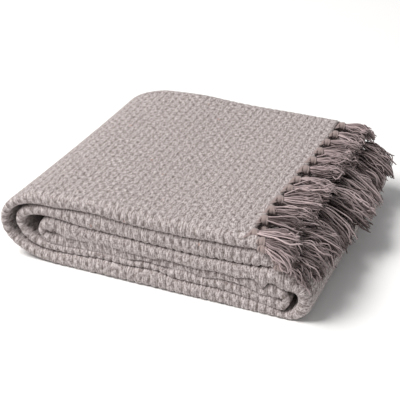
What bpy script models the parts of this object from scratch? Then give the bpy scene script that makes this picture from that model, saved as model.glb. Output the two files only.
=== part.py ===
"""Bedspread of thick honeycomb cotton with a knotted fringe on both ends, folded into a pile.

The cloth is 1.50 m by 2.50 m. It is folded in four along its length, so that every run of the
pile is four plies deep, with the last fold in front. That long strip is folded in half across,
and the doubled strip is folded in three. From the top down the pile has six runs, joined by
five bends, and both fringed ends come out on the right and hang over that side.

Metres, +Z up. +X runs along the pile to the fringed ends, and the pile's front faces -Y. The
origin is on the underside, in the middle of the face that the pile rests on.
"""
import math
from collections import namedtuple

import bmesh
import bpy

MM = 0.001
SMALL = 0.001              # a short step along a curve, to find its direction

# Cloth
CLOTH_WIDTH = 1500.0       # mm, from one long edge to the other
PLIES = 4                  # plies in a run
DEPTH = CLOTH_WIDTH / PLIES
CLOTH_THICK = 3.4          # mm, one ply where it lies loose
PRESSED = 0.215            # one ply's share of a run where the run is pressed thin
RUN_GAP = 0.8              # mm, air between two runs
FOLD_SQUARENESS = 2.3      # 2 is a round fold, more is a flatter one
EDGE_STEP = 5.0            # mm, how far the inner long edge lies inside the outer one
TIP_SHARPNESS = 1.4        # how closely a bend's own thickness keeps to its tip
LAST_FOLD, FIRST_FOLD = 6, 3             # stretches round the fold in front and those inside

# The two fringed ends, mm along X
TOP_END = 126.0
UNDER_END = 160.0

# The pile's right side is out of square: it is shorter at the back by this much, mm
OUT_OF_SQUARE = 10.0
SQUARE_TO, FULL_FROM = 130.0, 205.0      # the stretch along X that takes this up

# Fringe
KNOTS = 12                 # knots along one ply
KNOT_PITCH = 31.0          # mm
KNOT_LONG, KNOT_WIDE, KNOT_HIGH = 13.0, 14.0, 9.4      # mm
KNOT_ROUND = 0.82          # 1 brings a knot's section to a sharp edge at its sides
# A knot's sections from its header to its neck, as shares of its length, width, height and rise
KNOT_SHAPE = ((0.18, 0.90, 0.66, 0.60), (0.54, 1.00, 1.00, 1.00), (1.00, 0.66, 0.50, 1.00))
HEADER = 4.0               # mm, the strip that the knots grow from
HEADER_END = 2.0           # mm, how far it stops short of half a pitch past the last knot
KNOT_ROOT = 0.8            # share of the knot's width that is fused to the header
PART_GAP = 0.3             # mm, between the header and the cloth's edge
LOCK_STRETCHES = 4         # straight stretches in a lock of yarn
LOCK_THICK = 2.0           # mm, a lock where it lies flat
LOCK_SPREAD = 0.92         # share of the knot pitch that a knot's locks fan out over
LOCK_FILL = 0.86           # share of that room that the locks take up
TIP_THIN = 0.45            # share of its size that a lock loses over its last part
KNOT_WANDER, LOCK_WANDER, TIP_WANDER, CUT_WANDER = 1.2, 0.5, 0.4, 3.0      # mm, unevenness

# Places along X at which the run thicknesses are given, mm
STATIONS = (-150, -75, 0, 75, 150)

# A run: its thickness at each station, and how far it stops short of the pile's full depth
# in front and at the back, at its left end, middle and right end. Bottom to top, in mm.
Run = namedtuple("Run", "name thick front_short back_short")
RUNS = (
    Run("sole",      (18.0, 22.0, 23.0, 19.0, 13.0), (2.0, 0.5, 1.0), (2.0, 1.0, 3.0)),
    Run("tuck_low",  (12.0, 11.2, 10.6, 12.0, 14.4), (5.0, 3.5, 2.0), (4.0, 3.0, 5.0)),
    Run("tuck_high", (12.0, 11.2, 10.6, 12.0, 14.4), (6.0, 4.5, 3.0), (6.0, 4.0, 4.0)),
    Run("core",      (24.0, 21.6, 19.6, 19.0, 21.0), (4.0, 1.5, 0.5), (3.0, 1.5, 1.0)),
    Run("under_top", (17.0, 21.0, 20.2, 22.0, 22.6), (3.0, 2.0, 2.0), (2.0, 4.0, 3.0)),
    Run("top",       (20.4, 19.4, 19.6, 19.0, 17.6), (1.0, 0.0, 1.0), (1.0, 0.0, 2.0)),
)

# A bend: where it leaves one run and joins the next along X, how strongly it is pulled out
# at each of the two, its thickness at the tip, and the number of stretches in it. mm.
Bend = namedtuple("Bend", "name leave leave_pull join join_pull thick stretches")
BENDS = (
    Bend("wrap_left", -150, 92, -150, 92, 11.5, 12),
    Bend("wrap_right", 179, 33, 179, 33, 17.0, 9),
    Bend("fold_left", -154, 12.6, -154, 12.6, 13.0, 7),
    Bend("fold_right", 171, 9.8, 171, 9.8, 10.4, 7),
    Bend("loop_left", -156, 48, -150, 78, 17.6, 10),
)

# The way through the pile, from the upper fringed end to the lower one
ROUTE = ("top", "wrap_left", "sole", "wrap_right", "core", "fold_left",
         "tuck_high", "fold_right", "tuck_low", "loop_left", "under_top")
RUN_STRETCHES = 7

# A row of fringe, on one ply of an end: the run and ply it is on, how far its knots ride up,
# the locks in each knot, where the locks end, how far they lead out and fall before that, and
# the share it takes of the fringe's unevenness. The top end's locks lie on those of the end
# under it, which reach on over the pile's side and hang down it.
Row = namedtuple("Row", "name run ply end rise locks tip_x tip_z lead fall uneven")
ROWS = (
    Row("fringe_top_upper", "top", 0, TOP_END, 1.0, 4, 194.0, 88.5, 26.0, 10.0, 0.1),
    Row("fringe_top_lower", "top", 3, TOP_END, 3.8, 3, 186.5, 87.2, 26.0, 3.0, 0.0),
    Row("fringe_under_upper", "under_top", 0, UNDER_END, -2.8, 3, 225.5, 37.0, 17.0, 34.0, 1.0),
    Row("fringe_under_lower", "under_top", 3, UNDER_END, 2.9, 2, 215.6, 33.0, 20.0, 21.0, 0.6),
)

# Along the depth, from front to back: how much higher and further in the locks end, mm
DEPTH_PLACES = (-170, -90, 10, 60, 150)
ENDS_HIGHER = (22, 13, 0, 2, 20)
ENDS_IN = (7, 4, -1, -1, 1)

COTTON = (0.357, 0.314, 0.296)       # taupe grey melange, linear
FRINGE_COTTON = (0.262, 0.214, 0.205)


def clear_scene():
    for item in list(bpy.data.objects):
        bpy.data.objects.remove(item, do_unlink=True)


def cotton(name, colour, roughness):
    material = bpy.data.materials.new(name)
    material.use_nodes = True
    shader = material.node_tree.nodes["Principled BSDF"]
    shader.inputs["Base Color"].default_value = (*colour, 1.0)
    shader.inputs["Roughness"].default_value = roughness
    shader.inputs["Metallic"].default_value = 0.0
    return material


def smooth(values, places, x):
    """Value at x of a smooth curve through values at places, level at both ends."""
    if x <= places[0]:
        return values[0]
    if x >= places[-1]:
        return values[-1]
    i = max(k for k in range(len(places) - 1) if places[k] <= x)
    span = places[i + 1] - places[i]
    u = (x - places[i]) / span

    def slope(k):
        if k in (0, len(places) - 1):
            return 0.0
        return (values[k + 1] - values[k - 1]) / (places[k + 1] - places[k - 1])

    a, b = values[i], values[i + 1]
    rise_a, rise_b = slope(i) * span, slope(i + 1) * span
    return ((2 * u**3 - 3 * u**2 + 1) * a + (u**3 - 2 * u**2 + u) * rise_a
            + (3 * u**2 - 2 * u**3) * b + (u**3 - u**2) * rise_b)


def run_at(name, x):
    """Middle height, thickness, front and back of a run at x. The runs are stacked up."""
    below = 0.0
    for run in RUNS:
        thick = smooth(run.thick, STATIONS, x)
        if run.name == name:
            ends = (STATIONS[0], 0, STATIONS[-1])
            return (below + thick / 2, thick - RUN_GAP / 2,
                    DEPTH / 2 - smooth(run.front_short, ends, x),
                    DEPTH / 2 - smooth(run.back_short, ends, x))
        below += thick + RUN_GAP / 2
    raise ValueError(name)


def bezier(points, t):
    a, b, c, d = points
    weights = ((1 - t)**3, 3 * t * (1 - t)**2, 3 * t * t * (1 - t), t**3)
    return [sum(w * p[k] for w, p in zip(weights, points)) for k in range(2)]


# A station on the way through the pile: its middle, its outward normal, and the run's size
Station = namedtuple("Station", "x z nx nz thick front back")


def run_stations(name, start, end):
    """Stations along a run. The outward side is up where the way heads to -X."""
    up = 1.0 if end < start else -1.0
    rows = []
    for i in range(RUN_STRETCHES + 1):
        x = start + (end - start) * i / RUN_STRETCHES
        z, thick, front, back = run_at(name, x)
        rows.append(Station(x, z, 0.0, up, thick, front, back))
    return rows


def bend_stations(bend, before, after):
    """Stations round a bend, without its two ends, which belong to the runs."""

    def mix(a, b):
        return a + (b - a) * t

    side = -1.0 if bend.leave < 0 else 1.0
    z0, thick0, front0, back0 = run_at(before, bend.leave)
    z1, thick1, front1, back1 = run_at(after, bend.join)
    cage = ((bend.leave, z0), (bend.leave + side * bend.leave_pull, z0),
            (bend.join + side * bend.join_pull, z1), (bend.join, z1))
    rows = []
    for i in range(1, bend.stretches):
        t = i / bend.stretches
        x, z = bezier(cage, t)
        x_on, z_on = bezier(cage, t + SMALL)
        step = math.hypot(x_on - x, z_on - z)
        heading = ((x_on - x) / step, (z_on - z) / step)
        tip_share = math.sin(math.pi * t) ** TIP_SHARPNESS
        thick = mix(thick0, thick1) * (1 - tip_share) + bend.thick * tip_share
        rows.append(Station(x, z, heading[1], -heading[0], thick,
                            mix(front0, front1), mix(back0, back1)))
    return rows


def all_stations():
    bends = {bend.name: bend for bend in BENDS}
    rows = []
    for i, name in enumerate(ROUTE):
        if name not in bends:
            start = TOP_END if i == 0 else bends[ROUTE[i - 1]].join
            end = UNDER_END if i == len(ROUTE) - 1 else bends[ROUTE[i + 1]].leave
            rows += run_stations(name, start, end)
        else:
            rows += bend_stations(bends[name], ROUTE[i - 1], ROUTE[i + 1])
    return rows


def ply_sizes(thick):
    """Thickness of a ply and the height of each ply's middle in a run of this thickness."""
    ply = min(CLOTH_THICK, PRESSED * thick)
    gap = (thick - PLIES * ply) / (PLIES - 1)
    return ply, gap, [thick / 2 - ply / 2 - k * (ply + gap) for k in range(PLIES)]


def half_turn(centre_y, centre_v, reach, first, last, steps):
    """Points between the ends of a half turn of the cloth, with directions in degrees."""
    points = []
    for i in range(1, steps):
        angle = math.radians(first + (last - first) * i / steps)
        c, s = math.cos(angle), math.sin(angle)
        power = 2 / FOLD_SQUARENESS
        points.append((centre_y + reach * math.copysign(abs(c)**power, c),
                       centre_v + reach * math.copysign(abs(s)**power, s)))
    return points


def middle_line(thick, front, back):
    """The cloth's middle line across a run, as (y, v): v is the height in the run.

    It starts at the outer long edge at the back of the lowest ply, turns up at the front to
    the highest ply, down at the back, and in again at the front to the inner long edge.
    """
    ply, gap, level = ply_sizes(thick)
    outer = level[0]                              # half turn of the last fold
    outer_y = -front + ply / 2 + outer
    inner = (level[1] - level[2]) / 2             # half turn of the first fold inside it
    inner_y = -front + 1.5 * ply + gap + inner
    rear = (level[0] - level[1]) / 2
    rear_y = back - ply / 2 - rear
    rear_v = (level[0] + level[1]) / 2
    line = [(back - ply / 2, level[3]), (outer_y, level[3])]
    line += half_turn(outer_y, 0.0, outer, 270, 90, LAST_FOLD)
    line += [(outer_y, level[0]), (rear_y, level[0])]
    line += half_turn(rear_y, rear_v, rear, 90, -90, FIRST_FOLD)
    line += [(rear_y, level[1]), (inner_y, level[1])]
    line += half_turn(inner_y, 0.0, inner, 90, 270, FIRST_FOLD)
    line += [(inner_y, level[2]), (back - EDGE_STEP, level[2])]
    return line, ply


def both_faces(line, ply):
    """Points on the two faces of the cloth, half a ply to each side of its middle line."""
    left, right = [], []
    for i, (y, v) in enumerate(line):
        before, after = line[max(i - 1, 0)], line[min(i + 1, len(line) - 1)]
        ways = [(y - before[0], v - before[1]), (after[0] - y, after[1] - v)]
        units = [(a / math.hypot(a, b), b / math.hypot(a, b)) for a, b in ways if (a, b) != (0, 0)]
        a, b = sum(u[0] for u in units), sum(u[1] for u in units)
        size = math.hypot(a, b)
        a, b = a / size, b / size
        reach = ply / 2 / (a * units[0][0] + b * units[0][1])       # a mitred corner
        left.append((y - b * reach, v + a * reach))
        right.append((y + b * reach, v - a * reach))
    return left, right


def point(x, y, z):
    """A point of the pile in metres, with the right side put out of square."""
    share = min(max((x - SQUARE_TO) / (FULL_FROM - SQUARE_TO), 0.0), 1.0)
    share *= share * (3 - 2 * share)
    return ((x - OUT_OF_SQUARE * share * (y / DEPTH + 0.5)) * MM, y * MM, z * MM)


def place(station, y, v):
    """The point at depth y and height v in the run, at a station on the way."""
    return point(station.x + station.nx * v, y, station.z + station.nz * v)


def finish_mesh(name, bm, material, collection):
    bmesh.ops.recalc_face_normals(bm, faces=bm.faces)
    mesh = bpy.data.meshes.new(name)
    bm.to_mesh(mesh)
    bm.free()
    mesh.shade_smooth()
    mesh.set_sharp_from_angle(angle=math.radians(50))
    mesh.materials.append(material)
    item = bpy.data.objects.new(name, mesh)
    collection.objects.link(item)
    return item


def make_cloth(collection):
    """One closed loft of the folded cloth's section along the way through the pile."""
    bm = bmesh.new()
    rings = []
    for station in all_stations():
        line, ply = middle_line(station.thick, station.front, station.back)
        left, right = both_faces(line, ply)
        rings.append([bm.verts.new(place(station, y, v)) for y, v in left + right[::-1]])
    count = len(rings[0])
    for a, b in zip(rings, rings[1:]):
        for i in range(count):
            j = (i + 1) % count
            bm.faces.new((a[i], a[j], b[j], b[i]))
    for ring in (rings[0], rings[-1]):            # the two cut ends
        for i in range(count // 2 - 1):
            bm.faces.new((ring[i], ring[i + 1], ring[count - 2 - i], ring[count - 1 - i]))
    return finish_mesh("bedspread", bm, cotton("honeycomb_cotton", COTTON, 0.92), collection)


def loft(bm, rings, close):
    """Quads between closed rings of vertices, with the last ring filled where asked."""
    for a, b in zip(rings, rings[1:]):
        for i in range(len(a)):
            j = (i + 1) % len(a)
            bm.faces.new((a[i], a[j], b[j], b[i]))
    if close:
        bm.faces.new(rings[-1])


def wander(*numbers):
    """A fixed, uneven value between -1 and 1 for a knot or a lock."""
    seed = sum((k + 1) * 12.9898 * n for k, n in enumerate(numbers))
    return 2 * ((math.sin(seed) * 43758.5453) % 1.0) - 1


def knot_rings(bm, row, x, y, z, start):
    """Rings of a knot: it swells from the header and narrows to a neck."""
    rings = [start]
    for long, wide, high, rise in KNOT_SHAPE:
        ring = []
        for sign in (1, -1):
            for j in range(row.locks + 1)[::sign]:
                across = 2 * j / row.locks - 1
                up = sign * KNOT_HIGH / 2 * high * math.sqrt(1 - (KNOT_ROUND * across)**2)
                ring.append(bm.verts.new(point(x + long * KNOT_LONG,
                                               y + across * KNOT_WIDE / 2 * wide,
                                               z + row.rise * rise + up)))
        rings.append(ring)
    loft(bm, rings, False)
    return rings[-1]


def lock_rings(bm, row, index, lock, x, y, z, root):
    """Rings of one lock of yarn, from the knot's neck over the pile's side to its tip."""
    cut = CUT_WANDER * wander(index, lock, row.ply)
    tip_x = row.tip_x + TIP_WANDER * wander(lock, index, row.end)
    tip_x -= row.uneven * smooth(ENDS_IN, DEPTH_PLACES, y)
    tip_z = row.tip_z + cut + row.uneven * smooth(ENDS_HIGHER, DEPTH_PLACES, y)
    cage = ((x, z), (x + row.lead, z), (tip_x, row.tip_z + row.fall), (tip_x, tip_z))
    across = (2 * lock + 1) / row.locks - 1
    root_half = KNOT_WIDE / 2 * KNOT_SHAPE[-1][1]
    tip_half = KNOT_PITCH / 2 * LOCK_SPREAD
    sway = LOCK_WANDER * wander(index, row.lead)
    rings = [root]
    for i in range(1, LOCK_STRETCHES + 1):
        t = i / LOCK_STRETCHES
        px, pz = bezier(cage, t)
        qx, qz = bezier(cage, t - SMALL)
        step = math.hypot(px - qx, pz - qz)
        out_x, out_z = -(pz - qz) / step, (px - qx) / step
        taper = 1 - TIP_THIN * max(0.0, (t - 0.6) / 0.4)
        fan = math.sin(t * math.pi / 2)
        half = root_half + (tip_half - root_half) * fan
        wide = 2 * half / row.locks * LOCK_FILL * taper
        thick = LOCK_THICK * taper
        mid_y = y + across * half + sway * fan
        rings.append([bm.verts.new(point(px + out_x * face * thick / 2,
                                         mid_y + side * wide / 2,
                                         pz + out_z * face * thick / 2))
                      for side, face in ((-1, 1), (1, 1), (1, -1), (-1, -1))])
    loft(bm, rings, True)


def make_fringe_row(row, material, collection):
    """A header strip along one ply's end, with its knots and their locks grown out of it."""
    middle, thick, _, _ = run_at(row.run, row.end)
    ply, _, level = ply_sizes(thick)
    height = middle + level[row.ply]
    x0, x1 = row.end + PART_GAP, row.end + PART_GAP + HEADER
    bm = bmesh.new()

    def edge(y):
        return [bm.verts.new(point(x, y, height + s * ply / 2))
                for x, s in ((x0, -1), (x0, 1), (x1, 1), (x1, -1))]

    half = KNOT_WIDE / 2 * KNOT_ROOT
    first = edge(HEADER_END - KNOTS / 2 * KNOT_PITCH)
    bm.faces.new(first[::-1])
    last = first
    for index in range(KNOTS):
        centre = (index - (KNOTS - 1) / 2) * KNOT_PITCH
        centre += KNOT_WANDER * wander(index, row.ply, row.end)
        columns = [edge(centre + half * (2 * j / row.locks - 1)) for j in range(row.locks + 1)]
        loft(bm, [last, columns[0]], False)
        for a, b in zip(columns, columns[1:]):
            for i in (0, 1, 3):                   # back, top and underside; the front is the knot
                bm.faces.new((a[i], a[(i + 1) % 4], b[(i + 1) % 4], b[i]))
        start = [c[2] for c in columns] + [c[3] for c in columns[::-1]]
        neck = knot_rings(bm, row, x1, centre, height, start)
        n = row.locks
        for lock in range(n):
            root = [neck[lock], neck[lock + 1], neck[2 * n - lock], neck[2 * n + 1 - lock]]
            lock_rings(bm, row, index, lock, x1 + KNOT_LONG, centre,
                       height + row.rise, root)
        last = columns[-1]
    end = edge(KNOTS / 2 * KNOT_PITCH - HEADER_END)
    loft(bm, [last, end], True)
    return finish_mesh(row.name, bm, material, collection)


def main():
    clear_scene()
    collection = bpy.data.collections.new("folded_bedspread")
    bpy.context.scene.collection.children.link(collection)
    make_cloth(collection)
    yarn = cotton("fringe_cotton", FRINGE_COTTON, 0.95)
    for row in ROWS:
        make_fringe_row(row, yarn, collection)


main()
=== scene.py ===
"""Looks of a folded bedspread: thick honeycomb cotton with a knotted fringe on both ends.

The cloth is one sheet, 1.50 m by 2.50 m. It is folded in four along its length, with the last
fold in front, and that long strip is folded into a pile of six runs joined by five bends.
This file lays a thin sheet with its weave in relief on those folds, ties the fringe yarn by
yarn, and sets the pile on a pale floor in soft light.

Lengths are in millimetres up to the last step, where point() turns them into metres. +X runs
along the pile to the fringed ends, the pile's front faces -Y, and +Z is up.
"""
import math
from collections import namedtuple

import bpy
import numpy as np
from bpy.props import FloatProperty, FloatVectorProperty, IntProperty, PointerProperty
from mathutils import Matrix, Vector


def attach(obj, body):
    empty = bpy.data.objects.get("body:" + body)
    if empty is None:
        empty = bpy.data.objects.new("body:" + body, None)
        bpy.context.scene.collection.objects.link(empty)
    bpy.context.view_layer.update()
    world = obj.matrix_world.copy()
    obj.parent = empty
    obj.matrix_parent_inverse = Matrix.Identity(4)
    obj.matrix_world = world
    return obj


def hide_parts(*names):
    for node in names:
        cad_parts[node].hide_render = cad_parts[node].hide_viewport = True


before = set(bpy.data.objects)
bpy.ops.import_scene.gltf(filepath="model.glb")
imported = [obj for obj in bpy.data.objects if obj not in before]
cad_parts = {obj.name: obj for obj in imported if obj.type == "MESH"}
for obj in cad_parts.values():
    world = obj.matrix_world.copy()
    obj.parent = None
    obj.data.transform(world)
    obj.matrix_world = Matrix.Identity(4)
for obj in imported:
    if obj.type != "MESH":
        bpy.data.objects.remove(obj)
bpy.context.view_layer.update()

bl_info = {
    "name": "Folded bedspread",
    "version": (1, 0, 0),
    "blender": (4, 5, 0),
    "location": "View3D > Sidebar > Bedspread",
    "description": "A folded honeycomb cotton bedspread with a knotted fringe",
    "category": "Object",
}

MM = 0.001
SMALL = 0.001              # a short step along a curve, to find its direction
GOLDEN_ANGLE = 2.399963    # spreads yarns evenly over a round bundle

# ---------- the folds, as in the solids

CLOTH_WIDTH, CLOTH_LENGTH = 1500.0, 2500.0
PLIES = 4
DEPTH = CLOTH_WIDTH / PLIES
CLOTH_THICK = 3.4          # one ply where it lies loose
PRESSED = 0.215            # one ply's share of a run where the run is pressed thin
RUN_GAP = 0.8              # air between two runs
FOLD_SQUARENESS = 2.3      # 2 is a round fold, more is a flatter one
EDGE_STEP = 5.0            # how far the inner long edge lies inside the outer one
PILE_HIGH = 108.0          # where the sag and the back edge's lift are full
TOP_END, UNDER_END = 126.0, 160.0  # the two fringed ends
OUT_OF_SQUARE = 10.0       # the pile's right side is shorter at the back by this much
SQUARE_TO, FULL_FROM = 130.0, 205.0  # the stretch along X that takes this up
STATIONS = (-150, -75, 0, 75, 150)

# A run: its thickness at each station, and how far it stops short of the pile's full depth
# in front and at the back, at its left end, middle and right end. Bottom to top.
Run = namedtuple("Run", "name thick front_short back_short")
RUNS = (
    Run("sole",      (18.0, 22.0, 23.0, 19.0, 13.0), (2.0, 0.5, 1.0), (2.0, 1.0, 3.0)),
    Run("tuck_low",  (12.0, 11.2, 10.6, 12.0, 14.4), (5.0, 3.5, 2.0), (4.0, 3.0, 5.0)),
    Run("tuck_high", (12.0, 11.2, 10.6, 12.0, 14.4), (6.0, 4.5, 3.0), (6.0, 4.0, 4.0)),
    Run("core",      (24.0, 21.6, 19.6, 19.0, 21.0), (4.0, 1.5, 0.5), (3.0, 1.5, 1.0)),
    Run("under_top", (17.0, 21.0, 20.2, 22.0, 22.6), (3.0, 2.0, 2.0), (2.0, 4.0, 3.0)),
    Run("top",       (20.4, 19.4, 19.6, 19.0, 17.6), (1.0, 0.0, 1.0), (1.0, 0.0, 2.0)),
)

# A bend: where it leaves one run and joins the next along X, how strongly it is pulled out
# at each of the two, and its thickness at the tip.
Bend = namedtuple("Bend", "name leave leave_pull join join_pull thick")
BENDS = (
    Bend("wrap_left", -150, 94.2, -150, 94.2, 8.2),
    Bend("wrap_right", 179, 33, 179, 33, 17.0),
    Bend("fold_left", -154, 14.6, -154, 14.6, 9.0),
    Bend("fold_right", 171, 11.4, 171, 11.4, 7.6),
    Bend("loop_left", -156, 40, -150, 79, 11.0),
)
ROUTE = ("top", "wrap_left", "sole", "wrap_right", "core", "fold_left",
         "tuck_high", "fold_right", "tuck_low", "loop_left", "under_top")
SHOWN_PLIES = ("top", "wrap_left", "wrap_right")     # where the outermost ply is seen
# Bends that gape in front: what is taken off the closure on their outer and inner side.
GAPING = {"wrap_left": (0.0, 0.12), "loop_left": (0.0, 0.12),
          "fold_left": (0.0, 0.11), "fold_right": (0.0, 0.12)}

# A crease shows in front between a run and the one above it. At each place along X: how much
# higher or lower it lies than the solids have it, and how far the cloth's ribs close it.
Crease = namedtuple("Crease", "above places shift closed")
CREASES = (
    Crease("sole", (-150, -138, -124, -98, -75, -40, 5, 30, 60, 93, 141, 157, 178),
           (-0.5, -0.5, 0.0, 0.0, 1.0, -1.0, 2.0, -2.8, -0.8, 2.3, 1.5, 0.0, -5.5),
           (-0.12, -0.08, 0.1, 0.3, 0.2, 0.35, 0.25, 0.2, 0.15, 0.3, 0.5, 0.8, 0.2)),
    Crease("tuck_low", (-140, -89, -50, -34, -13, 18, 30, 44, 71, 96, 125, 144, 160, 170),
           (-3.0, -3.0, -3.0, -4.0, 0.0, -2.0, 0.0, 2.0, -1.3, 3.6, 3.0, -1.0, -3.0, -5.0),
           (1.0, 0.85, 1.0, 0.6, 0.4, 0.4, 1.0, 0.8, 0.6, 0.3, 0.4, 1.0, 0.4, -0.12)),
    Crease("tuck_high", (-158, -152, -144, -137, -130, -60, -40, -18, 0, 15, 57, 87, 116, 127,
                         139, 147, 158, 172, 182),
           (0.0, 0.0, 0.0, 0.0, 0.0, 0.0, -2.0, -3.0, -2.8, 0.0, -2.0, 1.3, -0.7, 2.4,
            1.5, -9.5, 1.5, -2.5, -6.0),
           (-0.05, -0.12, -0.13, 0.0, 1.0, 1.0, 1.0, 0.6, 0.8, 0.6, 0.45, 0.6, 0.4, 0.5,
            0.2, 0.15, 0.05, 0.1, 0.1)),
    Crease("core", (-146, -121, -96, -54, -5, 26, 61, 91, 132, 160),
           (2.0, -1.0, -3.6, -3.6, -3.0, -3.2, -2.8, -1.2, -0.7, 2.5),
           (0.05, 0.1, 0.15, 0.1, 0.2, 0.2, 0.15, 0.2, 0.1, 0.05)),
    Crease("under_top", (-141, -119, -75, -52, -7, 25, 42, 82, 105, 134),
           (0.8, 2.1, 1.1, -1.3, -0.5, 0.0, -1.0, 1.3, 1.0, 2.4),
           (0.05, 0.1, 0.3, 0.15, 0.35, 0.3, 0.2, 0.1, 0.15, 0.05)),
)
FOOT_CLOSED = 0.30         # how far the lowest fold is pressed square on the floor
CREASE_REACH = 45.0        # how far in from the front a crease's shift dies out
LEFT_END, LEFT_FADE = -195.0, 45.0  # where a crease's shift is gone along X, and over what
RIGHT_END, RIGHT_FADE = 200.0, 20.0  # length it fades
CLOSED_SQUARENESS = 9.0    # added to the front fold's squareness where a crease is closed
LAP, LAPS_FROM = 2.6, 0.55  # how far closed runs lap, and from which closure
RIB_CLEAR = 2.6            # how near to a groove a rib no longer closes a crease
RIB_LEAST, RIB_RANGE = 0.55, 0.9  # how unlike the ribs are in closing a crease

# How far the top's back edge stands higher than in the solids, along X.
BACK_PLACES = (-190, -135, -95, -50, 0, 60, 126)
BACK_HIGHER = (0.5, 3.0, 2.2, 0.2, 0.6, 1.8, 2.0)
LIFT_FROM, LIFT_REACH = 60.0, 120.0  # where that lift starts along Y, and its reach
SAG_AT, SAG_REACH = -30.0, 260.0  # where the sag is deepest along Y; its reach along X
END_PULLS = (17.0, 5.0)    # how far the front fold leads the two cut ends
END_PULL_REACH = 90.0      # how far from a cut end its pull is felt
END_PULL_WIDE = 24.0       # half of the width that is pulled

WAY_STEP = 1.0             # between points along a run, before rows are spaced out
BEND_POINTS = 160          # along a bend
FRONT_STEPS, FOLD_STEPS = 32, 12  # steps round the front fold and round the others

# ---------- the weave

CELL_S, CELL_T = 11.4, 13.0  # one honeycomb cell along the length and the width
STEPS_S, STEPS_T = 5, 5    # mesh steps in a cell
GROOVE_FLOOR = 0.35        # how deep a groove is between its pits
GROOVE_HALF, PIT_SHARPNESS = 1.8, 2.2  # half a groove's width, and how small its pits are
RIB_PIT_HALF, RIB_PIT = 2.0, 0.40  # half the width of the pits on a rib, and their depth
RIB_WAVER, RIB_WOBBLE = 0.8, 0.5  # how far a rib strays, slowly and quickly
CELL_SHIFT, CELL_UNEVEN = 0.8, 0.3  # how unlike the cells are in place and in depth
PROUD = 1.2                # how far the ribs stand out of the solid's faces
Columns = namedtuple("Columns", "name steps relief")
# Mesh columns across the cloth, from the outer long edge round the front fold to the inner
# one. Where relief is 0 the cloth is hidden between plies and the mesh is coarse.
ACROSS = (
    Columns("outer edge", 3, 1.0),
    Columns("lowest ply", 3, 0.0),
    Columns("front fold", 24, 1.0),
    Columns("highest ply", 3, 0.0),
    Columns("back fold", 6, 1.0),
    Columns("second ply", 3, 0.0),
    Columns("inner fold", 4, 0.0),
    Columns("third ply", 3, 0.0),
    Columns("inner edge", 3, 1.0),
)
# How far a zone reaches to each side of its fold, or in from its edge.
FRONT_ZONE, BACK_ZONE, INNER_ZONE, EDGE_ZONE = 31.0, 13.0, 9.0, 12.0
RIM_TURNS = (60.0, 120.0, 180.0)  # degrees round the thickness of a cut or woven edge
RIM_RETURN = 6.0           # how far the cloth's inner face shows past the edge
RIM_KEY = 2.0              # between a rim's columns on the weave's own map
LOWEST = 0.1               # the pile's foot, on the floor
NEARBY = 0.4               # how far on each side of a place its direction is taken

# ---------- the fringe

KNOTS = 12                 # knots along one ply
KNOT_PITCH = 31.0
KNOT_LONG, KNOT_WIDE, KNOT_HIGH = 12.0, 13.5, 10.0
KNOT_TONE = 2.0            # marks a knot; a tassel's yarns lie between 0 and 1
# The turns of a knot: how far along the knot each is wound, and how far aslant.
KNOT_TURNS = ((-0.30, 0.50), (0.34, -0.45))
HEADER = 0.6               # gathered ends between the cloth's edge and a knot
# Strands gathered into a knot: how many, their width at the cloth and at the knot, and how
# far back in the cloth they start and how far on they run.
GATHERS, GATHER_WIDE, GATHER_TIED, GATHER_IN, GATHER_ON = 9, 13.5, 4.2, 3.0, 6.5
# A tassel's half width and half height at its knot, what is added to its height midway, and
# what its width loses at the tips.
TIED_WIDE, TIED_HIGH, LOFT, DRAWN = 3.6, 3.4, 2.2, 2.5
YARN_STEPS = 12            # lengths that a free yarn bends in
BROKEN = 0.10              # share of the yarns that end short
CURL, WILD_CURL = 1.3, 3.2  # how far a yarn waves, and one that leaves the shape
ASLANT = (0.31, 0.87, 0.38)  # a direction that no yarn follows
LEAN_BACK = 6.0            # how far the upper end's tassels lean to the back
LOOSE_TO = 100.0           # tassels further back than this stay straighter
FRINGE_SIDE = DEPTH / 2 + 14.0  # no yarn stands further out in front or behind
SIDE_X, SIDE_Z, SIDE_REACH = 178.0, 31.5, 34.6  # the pile's rounded right side
# A row of fringe: the run and ply it is on, how far its knots ride up, where its yarns end,
# how far they lead out and fall before that, its share of the fringe's unevenness, how far a
# tassel strays sideways, the yarns in one, the share of them that leave its shape, and how
# much painted shade darkens its lower yarns, which lie under the others.
Row = namedtuple("Row",
                 "name run ply end rise tip_x tip_z lead fall uneven stray yarns wild deep")
ROWS = (
    Row("fringe_top_upper", "top", 0, TOP_END, 1.0,
        184.0, 100.0, 20.0, 3.5, -0.1, 10.0, 42, 0.14, 0.12),
    Row("fringe_top_lower", "top", 3, TOP_END, 2.2,
        182.0, 89.0, 26.0, 3.0, -0.1, 12.0, 34, 0.20, 0.20),
    Row("fringe_under_upper", "under_top", 0, UNDER_END, -2.8,
        227.5, 40.0, 12.0, 18.0, 1.0, 18.0, 36, 0.36, 0.32),
    Row("fringe_under_lower", "under_top", 3, UNDER_END, 2.9,
        215.6, 33.0, 14.0, 15.0, 0.6, 19.0, 28, 0.36, 0.32),
)
# Tassels tied on the folds at the ends of a row: the row, where they are tied, where their
# yarns end, how far those lead out, how wide they spread, and how many there are.
Corner = namedtuple("Corner", "row knot tip lead leaf yarns")
CORNERS = (
    Corner("fringe_top_upper", (147, -184, 102), (193, -184, 86), 16, 12, 34),
    Corner("fringe_top_upper", (150, -186, 94), (188, -186, 66), 14, 12, 40),
    Corner("fringe_top_lower", (126, 181, 94), (189, 179, 85), 18, 9, 36),
    Corner("fringe_under_upper", (168, -183, 80), (206, -187, 56), 12, 11, 26),
    Corner("fringe_under_upper", (171, -185, 72), (210, -183, 43), 14, 8, 12),
)
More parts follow.
